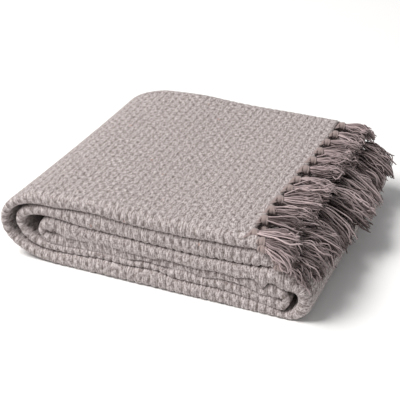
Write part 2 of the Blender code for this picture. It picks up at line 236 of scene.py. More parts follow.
# A row's unevenness along Y: how much higher its yarns end, and how much further in.
DEPTH_PLACES = (-170, -90, 10, 60, 150)
ENDS_HIGHER = (20, 12, 0, 2, 11)
ENDS_IN = (9, 9, 2, 0, 3)
# Two tassels of the lower end, by their place in the row, stand straight out of the pile.
STRAIGHT_OUT = {("fringe_under_upper", 6): (237, 20, 54),
                ("fringe_under_upper", 5): (236, 1, 43)}


# ---------- colours and small helpers

def linear(hex_colour):
    """A linear RGBA colour from an sRGB hex value."""
    channels = [int(hex_colour[i:i + 2], 16) / 255 for i in (0, 2, 4)]
    rgb = [c / 12.92 if c <= 0.04045 else ((c + 0.055) / 1.055)**2.4 for c in channels]
    return (*rgb, 1.0)


def colour(name, description, hex_colour):
    """A colour setting with an sRGB hex value as its default."""
    return FloatVectorProperty(name=name, description=description, subtype="COLOR", size=4,
                               min=0.0, max=1.0, default=linear(hex_colour))


def ease(share):
    """A share between 0 and 1 that starts and ends gently."""
    share = np.clip(share, 0.0, 1.0)
    return share * share * (3 - 2 * share)


def smooth(values, places, x):
    """Values at x of a smooth curve through values at places, level at both ends."""
    values, places = np.asarray(values, float), np.asarray(places, float)
    slope = np.zeros(len(values))
    slope[1:-1] = (values[2:] - values[:-2]) / (places[2:] - places[:-2])
    x = np.clip(x, places[0], places[-1])
    i = np.clip(np.searchsorted(places, x, side="right") - 1, 0, len(places) - 2)
    span = places[i + 1] - places[i]
    u = (x - places[i]) / span
    return ((2 * u**3 - 3 * u**2 + 1) * values[i] + (u**3 - 2 * u**2 + u) * slope[i] * span
            + (3 * u**2 - 2 * u**3) * values[i + 1] + (u**3 - u**2) * slope[i + 1] * span)


def run_at(name, x):
    """Middle height, thickness, front and back of a run at x. The runs are stacked up."""
    below = 0.0
    for run in RUNS:
        thick = smooth(run.thick, STATIONS, x)
        if run.name == name:
            ends = (STATIONS[0], 0, STATIONS[-1])
            return (below + thick / 2, thick - RUN_GAP / 2,
                    DEPTH / 2 - smooth(run.front_short, ends, x),
                    DEPTH / 2 - smooth(run.back_short, ends, x))
        below = below + thick + RUN_GAP / 2
    raise ValueError(name)


def bezier(cage, t):
    """Points at t of the curve that four points lead."""
    a, b, c, d = (np.asarray(p, float) for p in cage)
    t = np.asarray(t, float)[..., None]
    return (1 - t)**3 * a + 3 * t * (1 - t)**2 * b + 3 * t * t * (1 - t) * c + t**3 * d


def point(x, y, z):
    """Points of the pile in metres, with the right side put out of square."""
    share = ease((x - SQUARE_TO) / (FULL_FROM - SQUARE_TO))
    x = x - OUT_OF_SQUARE * share * (y / DEPTH + 0.5)
    return np.stack([x, y, z], axis=-1) * MM


def crease_shift(x, y, z):
    """How far the listed creases lift or lower the cloth near the pile's front."""
    near = ease((-y - (DEPTH / 2 - CREASE_REACH)) / CREASE_REACH)
    ends = np.clip(np.where(x < 0, (x - LEFT_END) / LEFT_FADE, (RIGHT_END - x) / RIGHT_FADE),
                   0.0, 1.0)
    heights, shifts = [np.zeros_like(x)], [np.zeros_like(x)]
    for crease in CREASES:
        middle, thick, _, _ = run_at(crease.above, x)
        heights.append(middle + thick / 2)
        shifts.append(smooth(crease.shift, crease.places, x))
    heights.append(heights[-1] + smooth(RUNS[-1].thick, STATIONS, x))
    shifts.append(np.zeros_like(x))
    lift = np.zeros_like(x)
    for k in range(len(heights) - 1):
        share = (z - heights[k]) / (heights[k + 1] - heights[k])
        lift += np.where((share >= 0) & (share < 1),
                         shifts[k] + (shifts[k + 1] - shifts[k]) * share, 0.0)
    return lift * near * ends


def settle(points, sag):
    """The pile gives a little, most at the top and towards its left end and not at all at
    its foot. Its creases in front and its back edge move to where they really lie."""
    x, y, z = points[..., 0] / MM, points[..., 1] / MM, points[..., 2] / MM
    across = np.clip(1 - ((y - SAG_AT) / (DEPTH / 2 - SAG_AT))**2, 0.0, 1.0)
    along = np.where(x < 0, 1.0 - x / SAG_REACH, np.clip(1 - (x / SAG_REACH)**2, 0.0, 1.0))
    back = (np.clip((y - LIFT_FROM) / LIFT_REACH, 0.0, 1.0)**2
            * np.clip(z / PILE_HIGH, 0.0, 1.0)**3)
    rise = back * smooth(BACK_HIGHER, BACK_PLACES, x)
    points[..., 2] += MM * (crease_shift(x, y, z) + rise
                            - sag * across * along * (z / PILE_HIGH)**2)
    return points


# ---------- the cloth's mesh

# A row across the cloth: how far along it lies, its place, which way its face looks, the run's
# thickness, front and back, how closed the creases over and under it are, and whether its
# uppermost ply is seen.
Way = namedtuple("Way", "s x z nx nz thick front back over under fine")


def closures(name, x):
    """How far the creases over and under a run are closed at x."""
    tables = {crease.above: smooth(crease.closed, crease.places, x) for crease in CREASES}
    names = [run.name for run in RUNS]
    foot = np.full_like(x, FOOT_CLOSED)
    below = tables[names[names.index(name) - 1]] if name != names[0] else foot
    return tables.get(name, np.zeros_like(x)), below


def route():
    """The cloth's way through the pile, from the upper fringed end to the lower one."""
    bends = {bend.name: bend for bend in BENDS}
    parts = []
    for i, name in enumerate(ROUTE):
        if name not in bends:
            start = TOP_END if i == 0 else bends[ROUTE[i - 1]].join
            end = UNDER_END if i == len(ROUTE) - 1 else bends[ROUTE[i + 1]].leave
            x = np.linspace(start, end, max(2, int(abs(end - start) / WAY_STEP)))
            z, thick, front, back = run_at(name, x)
            nz = np.full_like(x, 1.0 if end < start else -1.0)
            nx = np.zeros_like(x)
            over, under = closures(name, x) if end < start else closures(name, x)[::-1]
        else:
            bend = bends[name]
            side = -1.0 if bend.leave < 0 else 1.0
            z0, thick0, front0, back0 = run_at(ROUTE[i - 1], bend.leave)
            z1, thick1, front1, back1 = run_at(ROUTE[i + 1], bend.join)
            cage = ((bend.leave, z0), (bend.leave + side * bend.leave_pull, z0),
                    (bend.join + side * bend.join_pull, z1), (bend.join, z1))
            t = np.linspace(0, 1, BEND_POINTS)[1:-1]
            x, z = bezier(cage, t).T
            ahead = bezier(cage, t + SMALL) - bezier(cage, t)
            ahead /= np.linalg.norm(ahead, axis=1)[:, None]
            nx, nz = ahead[:, 1], -ahead[:, 0]
            tip = np.sin(np.pi * t)
            thick = (thick0 + (thick1 - thick0) * t) * (1 - tip) + bend.thick * tip
            front, back = front0 + (front1 - front0) * t, back0 + (back1 - back0) * t
            fade = np.clip(1 - 5 * t, 0, 1)      # gone after the first fifth
            gape = GAPING.get(name, (0.0, 0.0))
            last_over, last_under = parts[-1][7:9, -1]
            over, under = last_over * fade - tip * gape[0], last_under * fade - tip * gape[1]
        fine = np.full_like(x, float(name in SHOWN_PLIES))
        parts.append(np.stack([x, z, nx, nz, thick, front, back, over, under, fine]))
    table = np.concatenate(parts, axis=1)
    s = np.r_[0.0, np.cumsum(np.hypot(*np.diff(table[:2], axis=1)))]
    rows = np.r_[np.arange(0.0, s[-1], CELL_S / STEPS_S), s[-1]]
    if rows[-1] - rows[-2] < 0.5:
        rows = np.delete(rows, -2)
    return [Way(at, *(np.interp(at, s, line) for line in table)) for at in rows]


def ply_sizes(thick):
    """Thickness of a ply and the height of each ply's middle in a run of this thickness."""
    ply = min(CLOTH_THICK, PRESSED * thick)
    gap = (thick - PLIES * ply) / (PLIES - 1)
    return ply, gap, [thick / 2 - ply / 2 - k * (ply + gap) for k in range(PLIES)]


def half_turn(centre_y, centre_v, reach, first, last, steps, squareness=(0.0, 0.0)):
    """Points round a fold. squareness is added in its upper and in its lower half."""
    angle = np.radians(np.linspace(first, last, steps + 1))
    c, s = np.cos(angle), np.sin(angle)
    power = 2 / (FOLD_SQUARENESS + np.where(s > 0, squareness[0], squareness[1]))
    return np.stack([centre_y + reach * np.copysign(abs(c)**power, c),
                     centre_v + reach * np.copysign(abs(s)**power, s)], axis=1)


def rib_distance(s):
    """How far a place along the cloth is from the nearest groove between two ribs."""
    return abs(s / CELL_S - np.round(s / CELL_S)) * CELL_S


def section(way):
    """The cloth's middle line across a run as (y, height in the run), its length at each
    point from the front fold's tip, where its zones start, and how thick a ply is."""
    ply, gap, level = ply_sizes(way.thick)
    outer, inner, rear = level[0], (level[1] - level[2]) / 2, (level[0] - level[1]) / 2
    outer_y = -way.front + ply / 2 + outer
    inner_y = -way.front + 1.5 * ply + gap + inner
    rear_y = way.back - ply / 2 - rear
    rib = 1 - math.exp(-(rib_distance(way.s) / RIB_CLEAR)**2)
    rib *= RIB_LEAST + RIB_RANGE * float(unlike(math.floor(way.s / CELL_S)))
    closed = [CLOSED_SQUARENESS * (share * rib + share**3 * (1 - rib))
              for share in (way.over, way.under)]
    front_fold = half_turn(outer_y, 0.0, outer, 270, 90, FRONT_STEPS, closed)
    lap = [LAP * max(0.0, share - LAPS_FROM) for share in (way.over, way.under)]
    front_fold[:, 1] *= 1 + np.where(front_fold[:, 1] > 0, *lap) / outer
    back_fold = half_turn(rear_y, (level[0] + level[1]) / 2, rear, 90, -90, FOLD_STEPS)
    inner_fold = half_turn(inner_y, 0.0, inner, 90, 270, FOLD_STEPS)
    line = np.concatenate([[(way.back - ply / 2, level[3])], front_fold, back_fold, inner_fold,
                           [(way.back - EDGE_STEP, level[2])]])
    length = np.r_[0.0, np.cumsum(np.hypot(*np.diff(line, axis=0).T))]
    length -= length[1 + FRONT_STEPS // 2]
    back = length[2 + FRONT_STEPS + FOLD_STEPS // 2]
    turn = length[3 + FRONT_STEPS + FOLD_STEPS + FOLD_STEPS // 2]
    zones = [length[0], length[0] + EDGE_ZONE, -FRONT_ZONE, FRONT_ZONE, back - BACK_ZONE,
             back + BACK_ZONE, turn - INNER_ZONE, turn + INNER_ZONE,
             length[-1] - EDGE_ZONE, length[-1]]
    return line, length, zones, ply


def columns(zones, fine):
    """Places across the cloth of one row of the mesh, with a key and a relief for each.
    Rows are sewn together by their keys, so a row may have more places than the next."""
    keys, places, relief = [], [], []
    for i, zone in enumerate(ACROSS):
        shown = zone.name == "highest ply" and fine
        steps = round((zones[i + 1] - zones[i]) / (CELL_T / STEPS_T)) if shown else zone.steps
        share = np.arange(steps) / steps
        keys.append(i + share)
        places.append(zones[i] + (zones[i + 1] - zones[i]) * share)
        weight = np.full(steps, 1.0 if shown else zone.relief)
        if weight[0] < 1:
            weight[0] = max(weight[0], ACROSS[i - 1].relief)
        relief.append(weight)
    keys.append([len(ACROSS)])
    places.append([zones[-1]])
    relief.append([1.0])
    return [np.concatenate(part) for part in (keys, places, relief)]


def unlike(k):
    """A value between 0 and 1 that is unlike its neighbours', the same at every run."""
    wave = np.sin(np.asarray(k) * 12.9898) * 437.585
    return wave - np.floor(wave)


def honeycomb(s, t, depth):
    """Depth of the weave below its ribs. Ribs run across the cloth, and the grooves between
    them sink into a row of pits; a smaller row of pits lies on each rib, set off by half. No
    two ribs are quite straight or alike."""
    # The two waves have unlike lengths, so that the ribs never repeat.
    s = s + RIB_WAVER * np.sin(t / 19 + s / 47) + RIB_WOBBLE * np.sin(t / 8.3 - s / 31)
    t = t + CELL_SHIFT * unlike(np.round(s / CELL_S))
    cell = unlike(np.round(s / CELL_S) + 7.3 * np.round(t / CELL_T))
    depth = depth * (1 - CELL_UNEVEN / 2 + CELL_UNEVEN * cell)
    wave = 0.5 * np.cos(2 * np.pi * t / CELL_T)
    from_groove = rib_distance(s)
    pits = (0.5 + wave)**PIT_SHARPNESS
    groove = (np.exp(-(from_groove / GROOVE_HALF)**2)
              * (GROOVE_FLOOR + (1 - GROOVE_FLOOR) * pits))
    on_rib = (np.exp(-((CELL_S / 2 - from_groove) / RIB_PIT_HALF)**2)
              * RIB_PIT * (0.5 - wave)**2)
    return -depth * (groove + on_rib)


def new_mesh(name, points, faces, map_name, places):
    """A smooth mesh with a flat map, on which each point has its place."""
    mesh = bpy.data.meshes.new(name)
    mesh.from_pydata(np.concatenate(points).tolist(), [], faces)
    layer = mesh.uv_layers.new(name=map_name)
    corner = np.empty(len(mesh.loops), dtype=np.int32)
    mesh.loops.foreach_get("vertex_index", corner)
    places = np.concatenate(places).astype(np.float32)
    layer.data.foreach_set("uv", places[corner].ravel())
    mesh.shade_smooth()
    return mesh


class Grid:
    """Rows of points of unlike counts, sewn into one mesh."""

    def __init__(self):
        self.points, self.places, self.sunk, self.faces, self.last = [], [], [], [], None
        self.count = 0

    def add(self, points, places, keys, sunk):
        """Adds a row: its points, their places on the flat cloth, keys and sunken share."""
        start = self.count
        self.count += len(points)
        self.points.append(points)
        self.places.append(places * MM)
        self.sunk.append(sunk)
        if self.last is not None:
            self.sew(*self.last, start, keys)
        self.last = (start, keys)

    def sew(self, a, keys_a, b, keys_b):
        """Faces between the rows that start at a and b. Places with equal keys are joined."""
        i = j = 0
        while i < len(keys_a) - 1 or j < len(keys_b) - 1:
            step_a = keys_a[i + 1] if i < len(keys_a) - 1 else math.inf
            step_b = keys_b[j + 1] if j < len(keys_b) - 1 else math.inf
            if step_a == step_b:
                self.faces.append([a + i, a + i + 1, b + j + 1, b + j])
                i, j = i + 1, j + 1
            elif step_a < step_b:
                self.faces.append([a + i, a + i + 1, b + j])
                i += 1
            else:
                self.faces.append([a + i, b + j + 1, b + j])
                j += 1

    def mesh(self, name):
        mesh = new_mesh(name, self.points, self.faces, "weave", self.places)
        sunk = mesh.attributes.new("sunk", "FLOAT", "POINT")
        sunk.data.foreach_set("value", np.concatenate(self.sunk).astype(np.float32))
        return mesh


def end_pull(whole, s, t, y):
    """How far the front fold leads a cut end, and the small unevenness of that end."""
    front = np.exp(-(t / END_PULL_WIDE)**4)
    pull = np.zeros_like(t)
    for from_end, most in zip((s, whole - s), END_PULLS):
        near = np.clip(1 - from_end / END_PULL_REACH, 0.0, 1.0)
        uneven = 1.3 * np.sin(y / 14.0 + most) + 0.9 * np.sin(y / 31.0)
        pull += near * near * (most * front + uneven)
    return pull


def cloth_row(way, whole, depth, turn=0.0, out=0.0):
    """One row of the cloth's outer face, with a rim round each long edge. whole is the
    cloth's length; turn and out carry the row round a cut end."""
    line, length, zones, ply = section(way)
    keys, t, relief = columns(zones, way.fine > 0.5)
    half = ply / 2
    inner = math.cos(math.radians(turn)) * half

    def at(place, offset):
        """Points at places across the cloth, offset outward from its middle line."""
        (y, v), (y0, v0), (y1, v1) = (
            [np.interp(place + step, length, part) for part in line.T]
            for step in (0.0, -NEARBY, NEARBY))
        size = np.hypot(y1 - y0, v1 - v0)
        return y - (v1 - v0) / size * offset, v + (y1 - y0) / size * offset

    low = relief * honeycomb(way.s, t, depth)
    face = inner + (low + relief * PROUD) * (turn == 0.0)
    y, v = at(t, face)
    angles = np.radians(RIM_TURNS)
    inward = np.r_[half * (1 - np.sin(angles)), RIM_RETURN]
    offset = np.r_[inner * np.cos(angles), -inner]
    first_y, first_v = at(t[0] + inward, offset)
    last_y, last_v = at(t[-1] - inward, offset)
    y = np.r_[first_y[::-1], y, last_y]
    v = np.r_[first_v[::-1], v, last_v]
    extra = np.arange(1, len(offset) + 1)
    t = np.r_[t[0] - RIM_KEY * extra[::-1], t, t[-1] + RIM_KEY * extra]
    keys = np.r_[keys[0] - extra[::-1], keys, keys[-1] + extra]
    x = way.x + way.nx * v - way.nz * out + end_pull(whole, way.s, t, y)
    z = np.maximum(way.z + way.nz * v + way.nx * out, LOWEST)
    points = point(x, y, z)
    # How far the relief is sunk, which the cloth's material turns into painted shade in the
    # grooves.
    sunk = np.r_[np.zeros(len(extra)), -low / depth, np.zeros(len(extra))]
    return points, np.stack([np.full_like(t, way.s + out), t], axis=1), keys, sunk


def cloth_mesh(settings):
    """The whole sheet: its rows from the upper cut end to the lower one, and both ends."""
    ways = route()
    depth = settings.relief / MM
    grid = Grid()
    whole = ways[-1].s
    half = CLOTH_THICK / 2
    rim = [(180.0, RIM_RETURN)] + [(turn, -half * math.sin(math.radians(turn)))
                                   for turn in RIM_TURNS[::-1]]
    for turn, out in rim:
        grid.add(*cloth_row(ways[0], whole, depth, turn, out))
    for way in ways:
        grid.add(*cloth_row(way, whole, depth))
    for turn, out in rim[::-1]:
        grid.add(*cloth_row(ways[-1], whole, depth, turn, -out))
    mesh = grid.mesh("bedspread_cloth")
    points = np.empty(len(mesh.vertices) * 3, dtype=np.float32)
    mesh.vertices.foreach_get("co", points)
    points = settle(points.reshape(-1, 3).astype(float), settings.sag / MM)
    mesh.vertices.foreach_set("co", points.astype(np.float32).ravel())
    return mesh


# ---------- yarns and knots

class Yarns:
    """Many round yarns gathered into one mesh."""

    def __init__(self, sides):
        self.sides, self.points, self.places, self.faces, self.count = sides, [], [], [], 0

    def add(self, centres, radius, tone, sides=None):
        """Adds a yarn along centres, in metres, with a radius for each of them."""
        n, sides = len(centres), sides or self.sides
        ahead = np.gradient(centres, axis=0)
        ahead /= np.linalg.norm(ahead, axis=1)[:, None] + 1e-12
        side = np.cross(ahead, ASLANT)
        side /= np.linalg.norm(side, axis=1)[:, None]
        up = np.cross(side, ahead)
        angle = 2 * np.pi * np.arange(sides) / sides
        ring = (side[:, None] * np.cos(angle)[None, :, None]
                + up[:, None] * np.sin(angle)[None, :, None])
        self.points.append((centres[:, None] + ring * radius[:, None, None]).reshape(-1, 3))
        run = np.r_[0.0, np.cumsum(np.linalg.norm(np.diff(centres, axis=0), axis=1))]
        self.places.append(np.stack([np.full(n * sides, tone), np.repeat(run, sides)], axis=1))
        start, s = self.count, sides
        for i in range(n - 1):
            for k in range(s):
                a, b = start + i * s + k, start + i * s + (k + 1) % s
                self.faces.append([a, b, b + s, a + s])
        self.faces.append([start + k for k in range(s)][::-1])
        self.faces.append([start + (n - 1) * s + k for k in range(s)])
        self.count += n * s

    def mesh(self, name):
        return new_mesh(name, self.points, self.faces, "yarn", self.places)


def tied_knot(yarns, x, y, z, random):
    """A knot of yarn: a full round core and two turns wound over it aslant."""
    size = random.uniform(0.92, 1.12)
    long, wide, high = (size * part / 2 for part in (KNOT_LONG, KNOT_WIDE, KNOT_HIGH))
    core = np.linspace(-0.93, 0.93, 9)
    bulge = np.sqrt(1 - core**2) * (wide + high) / 2 * MM
    turn = random.uniform(-0.4, 0.4)
    yarns.add(point(x + long * core * math.cos(turn), y + wide * core * math.sin(turn),
                    np.full(len(core), z)), bulge, KNOT_TONE, sides=10)
    for shift, lean in KNOT_TURNS:
        angle = np.linspace(0, 2 * np.pi, 15)
        reach = math.sqrt(1 - shift**2) * 0.80
        px = x + long * (shift + lean * np.cos(angle + turn))
        py = y + wide * reach * np.cos(angle)
        pz = z + high * reach * np.sin(angle)
        radius = np.full(len(angle), random.uniform(1.5, 1.8)) * MM
        yarns.add(point(px, py, pz), radius, KNOT_TONE)


def clear_of_side(points, gap):
    """Keeps yarns off the pile's rounded right side."""
    x, z, reach = points[..., 0], points[..., 2], SIDE_REACH + gap
    out = np.hypot(x - SIDE_X, z - SIDE_Z)
    push = np.where((x > SIDE_X) & (out < reach) & (out > 1.0),
                    reach / np.maximum(out, 1.0), 1.0)
    points[..., 0] = SIDE_X + (x - SIDE_X) * push
    points[..., 2] = SIDE_Z + (z - SIDE_Z) * push
    return points


def tassel(yarns, cage, leaf, count, wild, deep, yarn, random):
    """The free yarns of one knot. cage is the curve that their middle follows, leaf how far
    they spread, wild the share of them that cross or loop out of its shape, and
    deep how much painted shade darkens the lowest of them."""
    shade = random.uniform(-0.15, 0.15)
    t = np.linspace(0, 1, YARN_STEPS + 1)
    for k in range(count):
        angle = GOLDEN_ANGLE * k
        reach = math.sqrt((k + 0.5) / count)
        across, over = reach * math.cos(angle), reach * math.sin(angle)
        long = random.uniform(0.86, 1.05) - 0.10 * abs(across)
        if random.random() < BROKEN:
            long *= random.uniform(0.6, 0.85)
        mid = bezier(cage, t * long)
        ahead = bezier(cage, t * long + SMALL) - mid
        ahead /= np.linalg.norm(ahead, axis=1)[:, None]
        side = np.cross(ahead, (0.0, 0.0, 1.0))
        side /= np.linalg.norm(side, axis=1)[:, None]
        up = np.cross(side, ahead)
        fan = TIED_WIDE + leaf * np.sin(np.clip(t * 1.2, 0, 1) * np.pi / 2) - DRAWN * t**3
        loft = TIED_HIGH + LOFT * np.sin(np.pi * t)
        curl = CURL if random.random() > wild else WILD_CURL
        cross = 0.0
        if random.random() < wild:
            across += random.uniform(-1.2, 1.2)
            over += random.uniform(0.0, 1.0)
            cross = random.uniform(-9.0, 9.0)
        waves = [curl * random.uniform(0.3, most) * t
                 * np.sin(2 * np.pi * t * random.uniform(0.9, 2.4) + random.uniform(0, 6.28))
                 for most in (2.6, 2.2)]
        centres = (mid + side * (across * fan + waves[0] + cross * t * t)[:, None]
                   + up * (over * loft + waves[1])[:, None])
        centres = clear_of_side(centres, yarn)
        centres[:, 1] = np.clip(centres[:, 1], -FRINGE_SIDE, FRINGE_SIDE)
        radius = np.full(len(t), yarn / 2) * random.uniform(0.8, 1.15)
        radius[-1] *= 0.7
        # Painted shade: yarns lying low in a tassel, under the others, are darkened by deep;
        # the rest of the tone differs at random.
        tone = random.random() + shade - deep * (1 - over)
        yarns.add(point(*centres.T), radius * MM, min(max(tone, 0.0), 1.0))


def gathers(yarns, x, y, z, rise, yarn, random):
    """The warp ends drawn together from the cloth's edge into a knot."""
    t = np.linspace(0, 1, 5)
    for k in range(GATHERS):
        across = 2 * k / (GATHERS - 1) - 1
        px = x - GATHER_IN + (HEADER + GATHER_ON) * t
        py = (y + across * (GATHER_WIDE * (1 - t) + GATHER_TIED * t)
              + random.uniform(-0.5, 0.5))
        pz = z + rise * t + 0.9 * math.cos(2.1 * across) * t
        yarns.add(point(px, py, pz), np.full(len(t), yarn / 2 * 1.15) * MM, KNOT_TONE)


def fringe_mesh(row, settings, seed):
    """One row of fringe: its gathers, knots and tassels, and those tied at its ends."""
    random = np.random.default_rng(seed)
    yarns = Yarns(settings.sides)
    yarn = settings.yarn / MM
    middle, thick, _, _ = (float(value) for value in run_at(row.run, row.end))
    _, _, level = ply_sizes(thick)
    height = middle + level[row.ply]
    for index in range(KNOTS):
        y = (index - (KNOTS - 1) / 2) * KNOT_PITCH + random.uniform(-2.5, 2.5)
        edge = row.end + random.uniform(-1.0, 2.0)
        x = edge + HEADER + KNOT_LONG / 2
        z = height + row.rise + random.uniform(-0.8, 0.8)
        gathers(yarns, edge, y, height, row.rise, yarn, random)
        tied_knot(yarns, x, y, z, random)
        tip_x = row.tip_x - row.uneven * float(smooth(ENDS_IN, DEPTH_PLACES, y))
        tip_z = row.tip_z + row.uneven * float(smooth(ENDS_HIGHER, DEPTH_PLACES, y))
        tip_x += random.uniform(-6.0, 3.0)
        tip_z += random.uniform(-0.4, 0.4) * row.stray
        loose = y < LOOSE_TO
        lean = row.stray * random.uniform(-0.6, 1.2 if loose else 0.2)
        if loose and row.run == "top":
            lean += LEAN_BACK
        wild = row.wild * (1.0 if loose else 0.3)
        root = x + KNOT_LONG / 2 - 2.0
        cage = ((root, y, z), (root + row.lead, y + lean * 0.3, z),
                (tip_x - 5, y + lean * 0.8, tip_z + row.fall), (tip_x, y + lean, tip_z))
        if (row.name, index) in STRAIGHT_OUT:
            out = STRAIGHT_OUT[row.name, index]
            cage = ((root, y, z), (root + 22, y + 3, z - 1),
                    (out[0] - 14, out[1] - 3, out[2] + 8), out)
        tassel(yarns, cage, random.uniform(9.0, 12.5), row.yarns, wild, row.deep, yarn, random)
    for corner in CORNERS:
        if corner.row == row.name:
            x, y, z = corner.knot
            tied_knot(yarns, x, y, z, random)
            tip = corner.tip
            cage = ((x + 4, y, z), (x + 4 + corner.lead, y, z - 1),
                    (tip[0] - 4, tip[1], tip[2] + 16), tip)
            tassel(yarns, cage, corner.leaf, corner.yarns, row.wild, 0.0, yarn, random)
    return yarns.mesh(row.name + "_yarns")


# ---------- materials

# The size of a float, of the specks in it, and of the field in which one nep may lie.
FLOAT_WIDE, FLOAT_LONG, SPECK, NEP = 1.8 * MM, 6.0 * MM, 1.6 * MM, 8.0 * MM
SURFACE_IOR = 1.46         # cotton and matt paint alike


def node(tree, kind, settings=(), links=()):
    """Adds a node, sets its properties and inputs, and links its inputs to other outputs."""
    made = tree.nodes.new(kind)
    for name, value in dict(settings).items():
        if isinstance(name, int) or name in made.inputs:
            made.inputs[name].default_value = value
        else:
            setattr(made, name, value)
    for name, source in dict(links).items():
        tree.links.new(source, made.inputs[name])
    return made


def new_material(name, roughness, sheen=0.0):
    """A material, its nodes and its shader. Sheen is the light in loose fibres."""
    material = bpy.data.materials.new(name)
    material.use_nodes = True
    shader = material.node_tree.nodes["Principled BSDF"]
    shader.inputs["Roughness"].default_value = roughness
    shader.inputs["IOR"].default_value = SURFACE_IOR
    shader.inputs["Sheen Weight"].default_value = sheen
    shader.inputs["Sheen Roughness"].default_value = 0.6
    return material, material.node_tree, shader


def honeycomb_cotton(settings):
    """Soft-spun cotton in a honeycomb weave. Undyed and dyed fibres are mixed before spinning.
    The same noise that raises the spun floats in the bump also makes them pale on top and dark
    between, so the colour holds painted light on the floats and painted shade in the gaps; the
    floats stay matt. The floats and specks are drawn about twice as coarse as spun, since finer
    ones do not show."""
    material, tree, shader = new_material("honeycomb_cotton", 0.95, 0.10)
    place = node(tree, "ShaderNodeUVMap", {"uv_map": "weave"})
    sunk = node(tree, "ShaderNodeAttribute", {"attribute_name": "sunk"})
    floats = node(tree, "ShaderNodeMapping",
                  {"Scale": (1 / FLOAT_WIDE, 1 / FLOAT_LONG, 1.0)},
                  {"Vector": place.outputs[0]})
    specks = node(tree, "ShaderNodeMapping",
                  {"Scale": (1 / SPECK, 1 / SPECK, 1.0)}, {"Vector": place.outputs[0]})
    strand = node(tree, "ShaderNodeTexNoise", {"Scale": 1.0, "Detail": 1.0, "Roughness": 0.5},
                  {"Vector": floats.outputs[0]})
    speck = node(tree, "ShaderNodeTexNoise", {"Scale": 1.0, "Detail": 2.0, "Roughness": 0.6},
                 {"Vector": specks.outputs[0]})
    mixed = node(tree, "ShaderNodeMath", {"operation": "ADD"},
                 {0: strand.outputs["Fac"], 1: speck.outputs["Fac"]})
    # Painted light and shade as well as a fibre mix: the same noise that raises the floats in
    # the bump turns the colour pale on their crests and dark in the gaps between them.
    ramp = node(tree, "ShaderNodeMapRange", {"From Min": 0.80, "From Max": 1.20},
                {"Value": mixed.outputs[0]})
    melange_and_float_shading = node(tree, "ShaderNodeMix",
                   {"data_type": "RGBA", 6: settings.dark, 7: settings.light},
                   {0: ramp.outputs[0]})
    # Painted shade in the grooves: the groove colour is mixed in by how far the relief is sunk,
    # on top of the real shading of the relief.
    shade = node(tree, "ShaderNodeMath", {"operation": "MULTIPLY", 1: settings.groove_shade},
                 {0: sunk.outputs["Fac"]})
    grooves = node(tree, "ShaderNodeMix", {"data_type": "RGBA", 7: settings.groove},
                   {0: shade.outputs[0], 6: melange_and_float_shading.outputs[2]})
    nep_place = node(tree, "ShaderNodeMapping", {"Scale": (1 / NEP, 1 / NEP, 1.0)},
                     {"Vector": place.outputs[0]})
    nep = node(tree, "ShaderNodeTexNoise", {"Scale": 1.0, "Detail": 0.0},
               {"Vector": nep_place.outputs[0]})
    few = node(tree, "ShaderNodeMapRange",
               {"From Min": 0.83, "From Max": 0.86, "To Max": 0.5},
               {"Value": nep.outputs["Fac"]})
    coloured = node(tree, "ShaderNodeMix", {"data_type": "RGBA", 7: settings.nep},
                    {0: few.outputs[0], 6: grooves.outputs[2]})
    tree.links.new(coloured.outputs[2], shader.inputs["Base Color"])
    bump = node(tree, "ShaderNodeBump", {"Strength": 1.0, "Distance": 0.0007},
                {"Height": mixed.outputs[0]})
    tree.links.new(bump.outputs[0], shader.inputs["Normal"])
    return material


def fringe_cotton(settings):
    """Loosely plied cotton yarn, a shade deeper than the cloth. Loose fibres soften every
    highlight. Knots are pulled tight, so they look fuller and of one tone, while the free
    yarns are pale and dark by turns, and the lowest yarns of a tassel are darkened further
    with painted shade."""
    material, tree, shader = new_material("plied_cotton_yarn", 0.95, 0.15)
    place = node(tree, "ShaderNodeUVMap", {"uv_map": "yarn"})
    parts = node(tree, "ShaderNodeSeparateXYZ", (), {"Vector": place.outputs[0]})
    free = node(tree, "ShaderNodeMix",
                {"data_type": "RGBA", 6: settings.dark, 7: settings.light},
                {0: parts.outputs[0]})
    tied = node(tree, "ShaderNodeMath", {"operation": "GREATER_THAN", 1: 1.5},
                {0: parts.outputs[0]})
    shade = node(tree, "ShaderNodeMix", {"data_type": "RGBA", 7: settings.knot},
                 {0: tied.outputs[0], 6: free.outputs[2]})
    tree.links.new(shade.outputs[2], shader.inputs["Base Color"])
    return material


def pale_floor(settings):
    """Matt painted board, so pale that it reads as a plain ground under the cloth."""
    material, _, shader = new_material("matt_painted_board", 0.9)
    shader.inputs["Base Color"].default_value = settings.floor
    return material


# ---------- settings

class ClothSettings(bpy.types.PropertyGroup):
    relief: FloatProperty(name="Relief", description="Depth of the honeycomb's grooves",
                          unit="LENGTH", default=2.2 * MM, min=0.0, max=3 * MM)
    sag: FloatProperty(name="Sag", description="How far the top gives in its middle",
                       unit="LENGTH", default=2.8 * MM, min=0.0, max=10 * MM)
    # Painted light and shade as well as a fibre mix: the light tone lands on the raised floats,
    # the dark tone in the gaps between them.
    light: colour("Light fibres", "Undyed fibres of the melange", "d5cccb")
    dark: colour("Dark fibres", "Dyed fibres of the melange", "7a6e6c")
    # Painted shade: the colour that darkens the grooves, mixed in by how far the relief is
    # sunk.
    groove: colour("Grooves", "The melange down in a groove", "54463f")
    groove_shade: FloatProperty(name="Groove shade", description="How far grooves darken",
                                default=0.85, min=0.0, max=1.0)
    nep: colour("Neps", "Stray dyed fibres caught in the yarn", "b08478")


